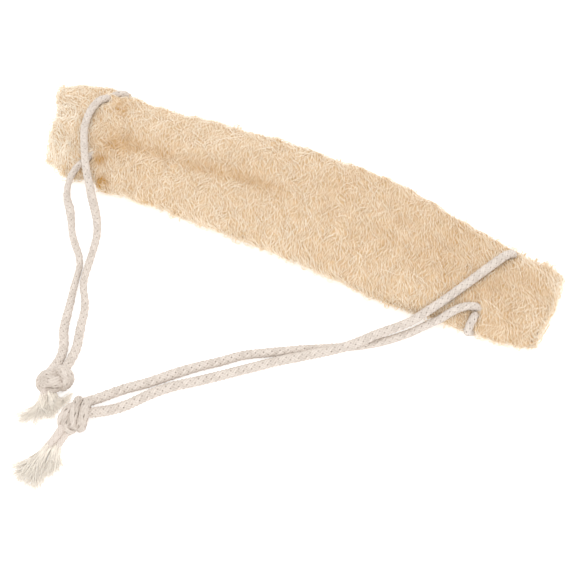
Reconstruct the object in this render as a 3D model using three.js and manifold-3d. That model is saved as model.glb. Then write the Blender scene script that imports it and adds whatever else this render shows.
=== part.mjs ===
// A long flattened loofah sponge for scrubbing the back, lying on a table.
// A cotton rope is threaded through each end as a handle, knotted and frayed at its free ends.
// Millimetres, +Z up, +X along the sponge; the origin is under the middle of the sponge.

import * as THREE from "three";
import { mergeVertices } from "three/addons/utils/BufferGeometryUtils.js";
import Module from "manifold-3d";

// Driving dimensions of the sponge
const spongeStart = -229.8; // middle of the slanted left end
const spongeEnd = 242.2; // middle of the right end
const leftEndFar = 12.2; // how far the left end's far corner runs past its middle
const leftEndNear = 19; // how far its near corner falls short of the middle
const cornerRound = 0.35; // how much the slanted end bows out towards its far corner
const slantReach = 110; // length over which the slant dies away
const rightEndBulge = 3; // how far the right end's middle stands past its corners
const farEdge = [
  [-245, 30], [-225, 37.5], [-185, 45], [-160, 45], [-112, 47], [-67, 52], [-21, 55.8], [26, 57.4],
  [72, 57.4], [100, 55.5], [125, 50], [150, 45], [175, 42], [200, 38], [225, 37], [245, 33],
];
const nearEdge = [
  [-245, -40], [-210, -48.5], [-187, -58], [-160, -51.5], [-150, -55], [-128, -53.5], [-67, -51.5],
  [-10, -50.5], [54, -51], [98, -53], [125, -52.5], [155, -49.5], [190, -47.5], [212, -45.5], [228, -41.5], [245, -32],
];
const thickness = [
  [-245, 10], [-230, 14], [-212, 18.5], [-190, 21.5], [-160, 21], [-110, 26], [-20, 30], [70, 30],
  [120, 27.5], [175, 23.5], [210, 21.5], [228, 18], [245, 11],
];
const sectionPower = 2.6; // superellipse power of the flattened section
const pressedFlat = 2.6; // depth of the underside that is pressed flat on the table
const trough = { y: -26, width: 10, depth: 5.5, from: -215, to: 30, fade: 45 };
const notch = { y: -5, width: 7, depth: 7, reach: 26 };

// The raised net: ridges across the sponge that zigzag and meet in pairs
const netColumns = 140; // even columns are ridges, odd columns the gaps between them
const netTopRows = 18;
const netBottomRows = 10;
const netHeight = 1.5;
const netJoin = 0.7; // height of a gap where two ridges meet, as a share of the ridge
const netZigzag = 1.7;
const endRagged = 3;

// Driving dimensions of the ropes
const ropeRadius = 4;
const ropeSides = 8;
const ropeSteps = 80;
const clearance = 0.5; // room around a rope where it passes through something

// Routes of the ropes' middles: out of the knot, round the sponge and back into the knot
const leftRoute = [
  [-84.4, -225, 11.4], [-85, -209, 7.5], [-89, -196, 4.6], [-92, -187, 4.2], [-97, -176, 4.2],
  [-102, -165, 4.2], [-107, -155, 4.2], [-112, -147, 4.2], [-117, -138, 4.2], [-122, -125, 4.2],
  [-125, -111, 4.2], [-130, -96, 4.2], [-136, -85, 4.2], [-145, -73, 5.5], [-153, -64.5, 11],
  [-157.5, -60, 18], [-163.3, -53, 24.2], [-172.4, -40, 27.8], [-182, -26, 26.5], [-190, -13, 25.8],
  [-195.5, 0, 25.4], [-197.3, 11, 24.8], [-196.5, 19, 23.5], [-193.4, 25.2, 22], [-191.5, 30, 18.3],
  [-189, 33.5, 17.5], [-185.5, 38, 18.5], [-181.8, 42.3, 16], [-179, 44.6, 11], [-177.2, 43.2, 6.7],
  [-176, 37.5, 4.5], [-174, 23, 4.4], [-172, 6, 4.4], [-170, -8, 5.4], [-171, -18, 10.5],
  [-172.2, -26, 15.5], [-174.2, -34, 17.8], [-176.3, -41.5, 17.5], [-178.6, -48, 15.5],
  [-181, -53.5, 11.5], [-182, -59.5, 7], [-179.5, -67, 4.6], [-173.5, -76, 4.2], [-163, -88, 4.2],
  [-152.5, -100, 4.2], [-141.5, -112, 4.2], [-133.6, -122, 4.2], [-128.9, -131, 4.2],
  [-125.1, -142, 4.2], [-120, -153, 4.2], [-115, -165, 4.2], [-110.5, -176, 4.2], [-105, -186, 4.2],
  [-99, -198, 4.6], [-94.5, -210, 7.5], [-92.5, -228, 12],
];
const rightRoute = [
  [-50, -244, 13], [-42, -236, 7.5], [-36, -229, 4.6], [-29, -222, 4.2], [-23, -214, 4.2],
  [-10, -199, 4.2], [3, -185, 4.2], [18, -173, 4.2], [32, -160, 4.2], [47, -147, 4.2],
  [62, -135, 4.8], [75, -126, 8], [86, -119, 11], [96, -113, 13], [105, -106, 13.4],
  [114, -96, 13.2], [122, -84, 12], [129, -76, 11], [136, -68, 11], [143, -60, 13.5],
  [150, -52, 19], [159, -42, 24], [169, -25, 27], [177, -8, 27.5], [184.5, 8, 27],
  [189.5, 19.5, 25.7], [193.3, 28, 21.5], [195.5, 32.5, 15], [196.5, 31.5, 8.6], [197.5, 25, 5],
  [199, 12, 4.4], [201, -8, 4.4], [201, -24, 4.4], [197.5, -35, 4.6], [191.8, -43, 6],
  [188, -47.2, 9.8], [187, -48, 14], [186.8, -46.2, 17.8], [186.5, -43.8, 19.4], [185.9, -40.8, 19.4],
  [184.8, -38, 17.2], [182.5, -33.2, 12], [181, -27, 9.2], [181.4, -20.6, 8.2], [183.4, -16.6, 8],
  [187, -14.2, 8.2], [190.8, -14.8, 9], [193.2, -18, 10.2], [193.4, -22.6, 12.4], [191, -27.2, 16.6],
  [186.4, -30.5, 21.2], [180, -33.5, 24], [173.8, -37.6, 24.3], [168.3, -43.6, 21.9],
  [162.5, -50, 16.5], [154, -58, 9.5], [146, -66, 5.5], [138, -74, 4.2],
  [124, -87, 4.2], [108, -98, 4.2], [93, -107, 4.2], [72, -119, 4.2], [51, -132, 4.2],
  [34, -143, 4.2], [20, -156, 4.2], [5, -169, 4.2], [-9, -183, 4.2], [-22, -197, 4.2],
  [-36, -210, 4.2], [-43, -218, 4.6], [-49, -227, 7.5], [-57, -239, 13],
];

// Each knot is turns of doubled rope round a filled middle; a turn's line runs midway between
// its two ropes, and apart is half their spacing
const leftKnot = {
  centre: [-85, -229, 10.2],
  half: [9, 7.5, 10],
  turns: [
    {
      line: [
        [-91.4, -222, 7], [-91, -221.8, 10], [-85.4, -221.1, 16], [-78.5, -222.5, 18.5],
        [-74.8, -226.3, 16.5], [-75.4, -229.7, 10], [-77, -230.5, 6.5],
      ],
      apart: 1.8,
    },
    {
      line: [
        [-82.8, -224.9, 13], [-87.7, -227.5, 16], [-93.3, -230.6, 15], [-95.6, -234.6, 11.5],
        [-93.3, -237.6, 7.5], [-87.9, -236.3, 6.5], [-82.2, -233.2, 8.5],
      ],
      apart: 1.5,
    },
  ],
};
const rightKnot = {
  centre: [-55, -247, 11],
  half: [7, 11, 10.7],
  turns: [
    {
      line: [
        [-56.7, -235.7, 6], [-56.7, -234.5, 9.5], [-54.8, -238.3, 16], [-52.4, -245.3, 20.8],
        [-51.9, -251.4, 19.4], [-52.6, -255.2, 14], [-53.6, -256.4, 8],
      ],
      apart: 3.3,
    },
    {
      line: [
        [-57.2, -241.3, 10], [-58, -243.4, 14.5], [-59.4, -248.8, 16], [-60.4, -255, 14.5],
        [-59.2, -258.7, 10.5], [-56, -259.4, 7],
      ],
      apart: 2.4,
    },
  ],
};
const knotSides = 6;

// Frayed free ends: a short tail and the points that its tufts of thread reach
const tailRadius = 3.3;
const tailSteps = 5;
const tuftRoot = 1.9;
const tuftTip = 0.6;
const tuftSides = 5;
const leftTails = [
  {
    tail: [[-91, -234.9, 9], [-90.1, -239.1, 7], [-89.1, -241.7, 5.6], [-88.4, -243.5, 4.4]],
    tips: [
      [-100.7, -268, 1.4], [-97, -270, 1.2], [-91.9, -269, 1.8], [-86.9, -269, 1.2], [-82, -268.4, 1.4],
      [-82.7, -261.4, 2.4], [-81, -256, 1.6], [-97.5, -260.6, 3], [-90, -262, 3.4],
    ],
  },
  {
    tail: [[-83.5, -232.4, 8.6], [-81.8, -235.2, 7], [-80, -237.2, 5.4], [-78.6, -238.8, 4.4]],
    tips: [
      [-70.1, -233.9, 1.4], [-69.2, -237.9, 1.6], [-70, -243.9, 1.4], [-71.1, -249.9, 1.2],
      [-73.3, -254, 1.4], [-76.2, -253.5, 1.8], [-73, -244, 3.2],
    ],
  },
];
const rightTails = [
  {
    tail: [
      [-57.6, -256.6, 11.6], [-59.2, -264.2, 9], [-61, -272.1, 6.8], [-62.5, -278.5, 5.3],
      [-63.4, -283.6, 4.2],
    ],
    tips: [
      [-79.5, -300.9, 1.4], [-74.5, -305.5, 1.2], [-69.5, -308.5, 1.8], [-64, -310.5, 1.2],
      [-58.7, -310.5, 1.4], [-54.5, -309.5, 1.2], [-50, -306.6, 1.4], [-71, -301, 3.4],
      [-62, -303, 3.6], [-57, -303, 2.8],
    ],
  },
  {
    tail: [
      [-51.2, -256.5, 8.4], [-52.4, -264.6, 6], [-54, -272.6, 4.6], [-55.2, -278.6, 4.1], [-55.8, -283, 4],
    ],
    tips: [
      [-51.3, -295.5, 1.2], [-48.5, -292.7, 1.4], [-47, -287.7, 1.6], [-49, -282.7, 2],
      [-53.1, -291.6, 2.6],
    ],
  },
];

const wasm = await Module();
wasm.setup();

// Joins and cuts work on solids; a solid comes from a closed geometry and goes back to one.
function toSolid(geometry) {
  const bare = geometry.clone();
  bare.deleteAttribute("normal");
  bare.deleteAttribute("uv");
  const merged = mergeVertices(bare, 1e-4);
  const mesh = new wasm.Mesh({
    numProp: 3,
    vertProperties: new Float32Array(merged.attributes.position.array),
    triVerts: new Uint32Array(merged.index.array),
  });
  return new wasm.Manifold(mesh);
}

function toGeometry(solid) {
  const mesh = largestPiece(solid).getMesh();
  const geometry = new THREE.BufferGeometry();
  geometry.setAttribute("position", new THREE.BufferAttribute(mesh.vertProperties, mesh.numProp));
  geometry.setIndex(new THREE.BufferAttribute(mesh.triVerts, 1));
  geometry.computeVertexNormals();
  return geometry;
}

// A cut through the raised net can leave a crumb behind; only the main body stays.
function largestPiece(solid) {
  const pieces = solid.decompose();
  return pieces.reduce((best, piece) => (piece.volume() > best.volume() ? piece : best));
}

function vectors(points) {
  return points.map(([x, y, z]) => new THREE.Vector3(x, y, z));
}

function tube(points, radius, sides, steps) {
  const rim = [];
  for (let k = 0; k < sides; k += 1) {
    const turn = (2 * Math.PI * k) / sides;
    rim.push(new THREE.Vector2(radius * Math.cos(turn), radius * Math.sin(turn)));
  }
  const extrudePath = new THREE.CatmullRomCurve3(points);
  return new THREE.ExtrudeGeometry(new THREE.Shape(rim), { steps, extrudePath, bevelEnabled: false });
}

// The room that a rope or tail needs: the same tube, a little thicker, and longer at both ends.
function room(points, radius, sides, steps) {
  const wide = radius + clearance;
  const last = points.length - 1;
  const ends = [[points[0], points[1]], [points[last], points[last - 1]]];
  let space = toSolid(tube(points, wide, sides, steps));
  for (const [end, inner] of ends) {
    const past = end.clone().sub(inner).setLength(clearance).add(end);
    const back = inner.clone().sub(end).setLength(clearance).add(end);
    space = space.add(toSolid(tube([past, back], wide, sides, 1)));
  }
  return space;
}

function profile(pairs) {
  const at = new Float32Array(pairs.map((pair) => pair[0]));
  const values = new Float32Array(pairs.map((pair) => pair[1]));
  const curve = new THREE.CubicInterpolant(at, values, 1);
  return (x) => curve.evaluate(x)[0];
}

const farAt = profile(farEdge);
const nearAt = profile(nearEdge);
const thicknessAt = profile(thickness);

function seeded(i, j) {
  const wave = Math.sin(i * 127.1 + j * 311.7 + 7.3) * 43758.5453;
  return wave - Math.floor(wave);
}

function bell(distance, width) {
  return Math.exp(-((distance / width) ** 2));
}

function signedPower(value, power) {
  return Math.sign(value) * Math.abs(value) ** power;
}

// Height of the net and sideways shift of its ridge at one grid point.
function netRelief(column, row) {
  const isRidge = column % 2 === 0;
  const ridge = isRidge ? column / 2 : (column - 1) / 2;
  const leansRight = (ridge + row) % 2 === 0;
  const uneven = 0.7 + 0.6 * seeded(column, row);
  if (isRidge) {
    return { lift: netHeight * uneven, shift: (leansRight ? netZigzag : -netZigzag) * uneven };
  }
  return { lift: leansRight ? netHeight * netJoin * uneven : -netHeight * uneven, shift: 0 };
}

// One point of the sponge's skin: a superellipse section carried along the sponge,
// with the net raised square to it, the trough pressed in and the underside pressed flat.
function skinPoint(column, row) {
  const rows = netTopRows + netBottomRows;
  const onTop = row <= netTopRows;
  const turn = onTop ? row / netTopRows : 1 + (row - netTopRows) / netBottomRows;
  const across = signedPower(Math.cos(Math.PI * turn), 2 / sectionPower);
  const upward = signedPower(Math.sin(Math.PI * turn), 2 / sectionPower);
  const share = column / netColumns;
  const station = THREE.MathUtils.lerp(spongeStart, spongeEnd, share);
  const isEnd = column === 0 || column === netColumns;
  const relief = netRelief(column, row % rows);

  const slanted = across > 0
    ? -leftEndFar * across * (1 + cornerRound * (1 - across ** 2))
    : leftEndNear * Math.abs(across) ** 1.5;
  const slant = slanted * Math.max(0, 1 - (station - spongeStart) / slantReach);
  const bulge = rightEndBulge * across ** 2 * share;
  let x = station + slant - bulge;
  if (isEnd) {
    x += Math.sign(share - 0.5) * endRagged * (seeded(column, row) - 0.3);
  } else {
    x += relief.shift;
  }
  const far = farAt(x);
  const near = nearAt(x);
  const deep = thicknessAt(x) + pressedFlat;
  const half = (far - near) / 2;
  let y = (far + near) / 2 + half * across;
  let z = (deep / 2) * (1 + upward);

  const notchFade = Math.max(0, 1 - (station - spongeStart) / notch.reach);
  x += notch.depth * notchFade * bell(y - notch.y, notch.width);
  if (onTop) {
    const enter = THREE.MathUtils.smoothstep(x, trough.from - trough.fade, trough.from);
    const leave = 1 - THREE.MathUtils.smoothstep(x, trough.to, trough.to + trough.fade);
    z -= trough.depth * enter * leave * bell(y - trough.y, trough.width);
  }
  const outward = new THREE.Vector2(
    signedPower(across, sectionPower - 1) / half,
    signedPower(upward, sectionPower - 1) / (deep / 2),
  ).normalize();
  const lift = isEnd ? 0 : relief.lift;
  y += outward.x * lift;
  z += outward.y * lift;
  return new THREE.Vector3(x, y, Math.max(0, z - pressedFlat));
}

// The skin is a grid closed round the section; each end is closed by a flat fill.
function spongeGeometry() {
  const rows = netTopRows + netBottomRows;
  const positions = [];
  const faces = [];
  for (let column = 0; column <= netColumns; column += 1) {
    for (let row = 0; row < rows; row += 1) {
      positions.push(...skinPoint(column, row).toArray());
    }
  }
  const index = (column, row) => column * rows + (row % rows);
  for (let column = 0; column < netColumns; column += 1) {
    for (let row = 0; row < rows; row += 1) {
      const a = index(column, row);
      const b = index(column + 1, row);
      const c = index(column + 1, row + 1);
      const d = index(column, row + 1);
      faces.push(a, c, b, a, d, c);
    }
  }
  for (const column of [0, netColumns]) {
    const rim = [];
    for (let row = 0; row < rows; row += 1) {
      const at = 3 * index(column, row);
      rim.push(new THREE.Vector2(positions[at + 1], positions[at + 2]));
    }
    for (const [p, q, r] of THREE.ShapeUtils.triangulateShape(rim, [])) {
      const face = [index(column, p), index(column, q), index(column, r)];
      faces.push(...(column === 0 ? face.reverse() : face));
    }
  }
  const geometry = new THREE.BufferGeometry();
  geometry.setAttribute("position", new THREE.Float32BufferAttribute(positions, 3));
  geometry.setIndex(faces);
  return geometry;
}

// The two ropes of one turn lie either side of its line, apart along the axis that the turn winds round.
function doubled({ line, apart }) {
  const points = vectors(line);
  const middle = new THREE.Vector3();
  points.forEach((point) => middle.addScaledVector(point, 1 / points.length));
  const axis = new THREE.Vector3();
  for (let k = 1; k < points.length; k += 1) {
    axis.add(points[k - 1].clone().sub(middle).cross(points[k].clone().sub(middle)));
  }
  axis.setLength(apart);
  return [points.map((point) => point.clone().add(axis)), points.map((point) => point.clone().sub(axis))];
}

// The turns are joined to the middle, with sockets where the two strands and the two tails run in.
function knotSolid({ centre, half, turns }, sockets) {
  const middle = new THREE.SphereGeometry(1, 8, 6).scale(...half).translate(...centre);
  const ropes = turns.flatMap(doubled).map((points) => {
    return toSolid(tube(points, ropeRadius, knotSides, points.length + 1));
  });
  const solid = ropes.reduce((all, one) => all.add(one), toSolid(middle));
  return sockets.reduce((rest, socket) => rest.subtract(socket), solid);
}

// A tuft is a thin tapered spike of thread from the tail's end out to a tip.
function tuft(from, to) {
  const reach = from.distanceTo(to);
  const spike = new THREE.CylinderGeometry(tuftTip, tuftRoot, reach, tuftSides);
  spike.rotateX(Math.PI / 2);
  spike.translate(0, 0, reach / 2);
  const aim = new THREE.Matrix4().lookAt(to, from, new THREE.Vector3(0, 0, 1));
  spike.applyMatrix4(aim.setPosition(from));
  return toSolid(spike);
}

function frayedEnd({ tail, tips }) {
  const points = vectors(tail);
  const root = points[points.length - 1].clone().lerp(points[points.length - 2], 0.3);
  const tufts = vectors(tips).map((tip) => tuft(root, tip));
  return tufts.reduce((all, one) => all.add(one), toSolid(tube(points, tailRadius, ropeSides, tailSteps)));
}

function tailRoom({ tail }) {
  return room(vectors(tail), tailRadius, ropeSides, tailSteps);
}

const loofahLook = new THREE.MeshStandardMaterial({ color: 0xeed3a6, roughness: 0.85, metalness: 0 });
const cottonLook = new THREE.MeshStandardMaterial({ color: 0xe8ded2, roughness: 0.9, metalness: 0 });
const group = new THREE.Group();

function addNode(name, geometry, look) {
  const mesh = new THREE.Mesh(geometry, look.clone());
  mesh.name = name;
  group.add(mesh);
}

// The two ends of a rope are the frayed tails of one knot, so each is a solid of its own.
let sponge = toSolid(spongeGeometry());
const handles = [
  { side: "left", route: leftRoute, knot: leftKnot, tails: leftTails },
  { side: "right", route: rightRoute, knot: rightKnot, tails: rightTails },
];
for (const { side, route, knot, tails } of handles) {
  const points = vectors(route);
  const ropeRoom = room(points, ropeRadius, ropeSides, ropeSteps);
  sponge = sponge.subtract(ropeRoom);
  addNode(`${side}_rope`, tube(points, ropeRadius, ropeSides, ropeSteps), cottonLook);
  addNode(`${side}_knot`, toGeometry(knotSolid(knot, [ropeRoom, ...tails.map(tailRoom)])), cottonLook);
  tails.forEach((tail, number) => {
    addNode(`${side}_frayed_end_${number + 1}`, toGeometry(frayedEnd(tail)), cottonLook);
  });
}
addNode("loofah_sponge", toGeometry(sponge), loofahLook);

export default group;
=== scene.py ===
import math
import bpy
import numpy as np
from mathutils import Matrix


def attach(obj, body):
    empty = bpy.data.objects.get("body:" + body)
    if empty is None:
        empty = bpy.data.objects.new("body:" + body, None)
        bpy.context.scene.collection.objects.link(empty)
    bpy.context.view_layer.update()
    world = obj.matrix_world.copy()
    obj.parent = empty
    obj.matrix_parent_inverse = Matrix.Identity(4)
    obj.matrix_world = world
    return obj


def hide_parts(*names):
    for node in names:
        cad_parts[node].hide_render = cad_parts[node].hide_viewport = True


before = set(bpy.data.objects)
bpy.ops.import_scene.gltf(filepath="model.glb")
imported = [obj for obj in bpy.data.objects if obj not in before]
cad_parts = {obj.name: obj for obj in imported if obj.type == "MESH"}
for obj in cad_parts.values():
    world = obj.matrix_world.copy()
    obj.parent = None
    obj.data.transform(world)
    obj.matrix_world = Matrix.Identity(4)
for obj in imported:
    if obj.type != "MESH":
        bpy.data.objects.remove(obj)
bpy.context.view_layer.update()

mm = 0.001
rng = np.random.default_rng(41)
anyPhase = (0, 6.28)  # where a wave may start in its turn


# each vector over its own length
def unit(v):
    return v / np.maximum(np.linalg.norm(v, axis=-1, keepdims=True), 1e-12)


# cubic pieces through the values, the slope at each one taken from its two neighbours
def hermite(knots, values, at):
    slope = np.gradient(values, knots, axis=0)
    i = np.clip(np.searchsorted(knots, at, side="right") - 1, 0, len(knots) - 2)
    span = knots[i + 1] - knots[i]
    u = np.clip((at - knots[i]) / span, 0, 1)
    if values.ndim > 1:
        u, span = u[:, None], span[:, None]
    start = (2 * u**3 - 3 * u**2 + 1) * values[i] + (u**3 - 2 * u**2 + u) * span * slope[i]
    end = (3 * u**2 - 2 * u**3) * values[i + 1] + (u**3 - u**2) * span * slope[i + 1]
    return start + end


# a line through the points, knots at the square root of each gap, then walked in even steps
def smoothPath(points, step, finePerPoint=40):
    points = np.asarray(points, float)
    gaps = np.linalg.norm(np.diff(points, axis=0), axis=1)
    knots = np.concatenate([[0], np.cumsum(np.sqrt(gaps))])
    line = hermite(knots, points, np.linspace(0, knots[-1], finePerPoint * len(points)))
    along = np.concatenate([[0], np.cumsum(np.linalg.norm(np.diff(line, axis=0), axis=1))])
    even = np.linspace(0, along[-1], max(4, round(along[-1] / step) + 1))
    return np.stack([np.interp(even, along, line[:, k]) for k in range(3)], axis=1)


# ahead, side and lift at every path point; side is carried on, less whatever part of it points ahead
def carriedFrame(path, upAtStart=(0.31, 0.22, 1.0)):
    ahead = unit(np.gradient(path, axis=0))
    side = np.empty_like(path)
    side[0] = unit(np.cross(ahead[0], upAtStart))
    for k in range(1, len(path)):
        side[k] = unit(side[k - 1] - ahead[k] * np.dot(side[k - 1], ahead[k]))
    return ahead, side, np.cross(ahead, side)


# every ring of every tube joined to the next one, and both ends shut
def tubeFaces(tubes, rings, sides):
    first = np.arange(tubes)[:, None, None] * rings * sides
    ring = np.arange(rings - 1)[None, :, None] * sides
    s = np.arange(sides)[None, None, :]
    a, b = first + ring + s, first + ring + (s + 1) % sides
    walls = np.stack([a, b, b + sides, a + sides], axis=-1).reshape(-1, 4)
    starts = first[:, 0] + np.arange(sides)[::-1]
    ends = first[:, 0] + (rings - 1) * sides + np.arange(sides)
    return walls.tolist() + starts.tolist() + ends.tolist()


# round tubes on many lines: centre + radius x (normal x cos + (ahead x normal) x sin)
def tubePoints(centres, normals, radius, sides):
    ahead = unit(np.gradient(centres, axis=1))
    out = unit(normals - ahead * (normals * ahead).sum(-1, keepdims=True))
    left = np.cross(ahead, out)
    turn = 2 * np.pi * np.arange(sides) / sides
    ring = out[:, :, None] * np.cos(turn)[:, None] + left[:, :, None] * np.sin(turn)[:, None]
    return centres[:, :, None] + radius[:, :, None, None] * ring


# one piece, with a tone for each vertex that its material turns into colour
def addMesh(name, vertices, faces, material, tone, smooth=True):
    mesh = bpy.data.meshes.new(name)
    mesh.from_pydata(vertices.reshape(-1, 3).tolist(), [], faces)
    layer = mesh.attributes.new("tone", "FLOAT", "POINT")
    layer.data.foreach_set("value", np.ravel(tone).astype(np.float32))
    if smooth:
        mesh.shade_smooth()
    mesh.materials.append(material)
    obj = bpy.data.objects.new(name, mesh)
    bpy.context.collection.objects.link(obj)
    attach(obj, "root")
    triangles = sum(len(p.vertices) - 2 for p in mesh.polygons)
    print(f"{name}: {triangles} triangles")
    return obj


# camera

view = dict(aim=(0.0374, -0.0694, 0.0), distance=0.8746, azimuth=26.0, elevation=59.0, lens=65.94)


# stands off the aim point along (sin a cos e, -cos a cos e, sin e)
def addCamera():
    a, e = math.radians(view["azimuth"]), math.radians(view["elevation"])
    back = np.array([math.sin(a) * math.cos(e), -math.cos(a) * math.cos(e), math.sin(e)])
    data = bpy.data.cameras.new("viewCamera")
    data.sensor_width = 36.0
    data.lens = view["lens"]
    camera = bpy.data.objects.new("viewCamera", data)
    camera.location = np.array(view["aim"]) + view["distance"] * back
    camera.rotation_euler = (math.pi / 2 - e, 0.0, a)
    bpy.context.collection.objects.link(camera)
    bpy.context.scene.camera = camera


addCamera()
print("camera placed")

# materials


# shared by all materials: dark to light by the piece's own tone, moved up and down by soft patches
def makePatchyTone():
    group = bpy.data.node_groups.new("patchyTone", "ShaderNodeTree")
    for name, kind in (("tone", "NodeSocketFloat"), ("dark", "NodeSocketColor"),
                       ("light", "NodeSocketColor"), ("patchScale", "NodeSocketFloat"),
                       ("patchShare", "NodeSocketFloat")):
        group.interface.new_socket(name, in_out="INPUT", socket_type=kind)
    group.interface.new_socket("colour", in_out="OUTPUT", socket_type="NodeSocketColor")
    nodes, links = group.nodes, group.links
    given, result = nodes.new("NodeGroupInput"), nodes.new("NodeGroupOutput")
    place = nodes.new("ShaderNodeTexCoord")
    noise = nodes.new("ShaderNodeTexNoise")
    noise.inputs["Detail"].default_value = 3.0
    swing = nodes.new("ShaderNodeMath")
    swing.operation = "MULTIPLY_ADD"  # noise x share + tone
    centred = nodes.new("ShaderNodeMath")
    centred.operation = "SUBTRACT"
    centred.inputs[1].default_value = 0.5
    limit = nodes.new("ShaderNodeClamp")
    limit.inputs["Min"].default_value = -1.0  # below 0 runs on past dark, for the painted shade
    limit.inputs["Max"].default_value = 1.15  # and a little past light, for the painted light
    mix = nodes.new("ShaderNodeMix")
    mix.data_type = "RGBA"
    mix.clamp_factor = False
    links.new(place.outputs["Object"], noise.inputs["Vector"])
    links.new(given.outputs["patchScale"], noise.inputs["Scale"])
    links.new(noise.outputs["Fac"], centred.inputs[0])
    links.new(centred.outputs["Value"], swing.inputs[0])
    links.new(given.outputs["patchShare"], swing.inputs[1])
    links.new(given.outputs["tone"], swing.inputs[2])
    links.new(swing.outputs["Value"], limit.inputs["Value"])
    links.new(limit.outputs["Result"], mix.inputs["Factor"])
    links.new(given.outputs["dark"], mix.inputs["A"])
    links.new(given.outputs["light"], mix.inputs["B"])
    links.new(mix.outputs["Result"], result.inputs["colour"])
    return group


patchyTone = makePatchyTone()


# tone attribute to patchy colour to Principled, with a fine noise bump
def makeMaterial(name, look):
    material = bpy.data.materials.new(name)
    material.use_nodes = True
    nodes, links = material.node_tree.nodes, material.node_tree.links
    shader = nodes["Principled BSDF"]
    shader.inputs["Roughness"].default_value = look["roughness"]
    shader.inputs["Specular IOR Level"].default_value = look["specular"]
    shader.inputs["Sheen Weight"].default_value = look["sheen"]
    tone = nodes.new("ShaderNodeAttribute")
    tone.attribute_name = "tone"
    patches = nodes.new("ShaderNodeGroup")
    patches.node_tree = patchyTone
    for key in ("dark", "light", "patchScale", "patchShare"):
        patches.inputs[key].default_value = look[key]
    place = nodes.new("ShaderNodeTexCoord")
    grain = nodes.new("ShaderNodeTexNoise")
    grain.inputs["Scale"].default_value = look["grainScale"]
    bump = nodes.new("ShaderNodeBump")
    bump.inputs["Strength"].default_value = look["grainBump"]
    bump.inputs["Distance"].default_value = 0.4 * mm
    links.new(tone.outputs["Fac"], patches.inputs["tone"])
    links.new(patches.outputs["colour"], shader.inputs["Base Color"])
    links.new(place.outputs["Object"], grain.inputs["Vector"])
    links.new(grain.outputs["Fac"], bump.inputs["Height"])
    links.new(bump.outputs["Normal"], shader.inputs["Normal"])
    return material


fibreLook = dict(dark=(0.785, 0.59, 0.365, 1), light=(0.975, 0.89, 0.76, 1), patchScale=28.0,
                 patchShare=0.5, grainScale=1500.0, grainBump=0.25, roughness=0.6,
                 specular=0.25, sheen=0.0)
# painted shade: the core's colours are darker than the fibres', for the shaded inside seen between them
shadedCoreLook = dict(dark=(0.61, 0.435, 0.25, 1), light=(0.79, 0.6, 0.39, 1), patchScale=160.0,
                patchShare=1.2, grainScale=700.0, grainBump=0.8, roughness=0.8,
                specular=0.15, sheen=0.0)
ropeLook = dict(dark=(0.5, 0.43, 0.37, 1), light=(0.855, 0.775, 0.705, 1), patchScale=650.0,
                patchShare=0.7, grainScale=2200.0, grainBump=0.5, roughness=0.9,
                specular=0.1, sheen=0.15)
frayLook = dict(dark=(0.67, 0.59, 0.53, 1), light=(0.97, 0.92, 0.84, 1), patchScale=60.0,
                patchShare=0.3, grainScale=2200.0, grainBump=0.3, roughness=0.9,
                specular=0.1, sheen=0.15)
fibreMaterial = makeMaterial("loofahFibre", fibreLook)
coreMaterial = makeMaterial("loofahCore", shadedCoreLook)
ropeMaterial = makeMaterial("cottonRope", ropeLook)
frayMaterial = makeMaterial("cottonFray", frayLook)
print("materials made")

# rope handles, in mm: routes from the knot through the sponge and back to the knot,
# widths as [share of the strand's length from inside the sponge, width]

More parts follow.
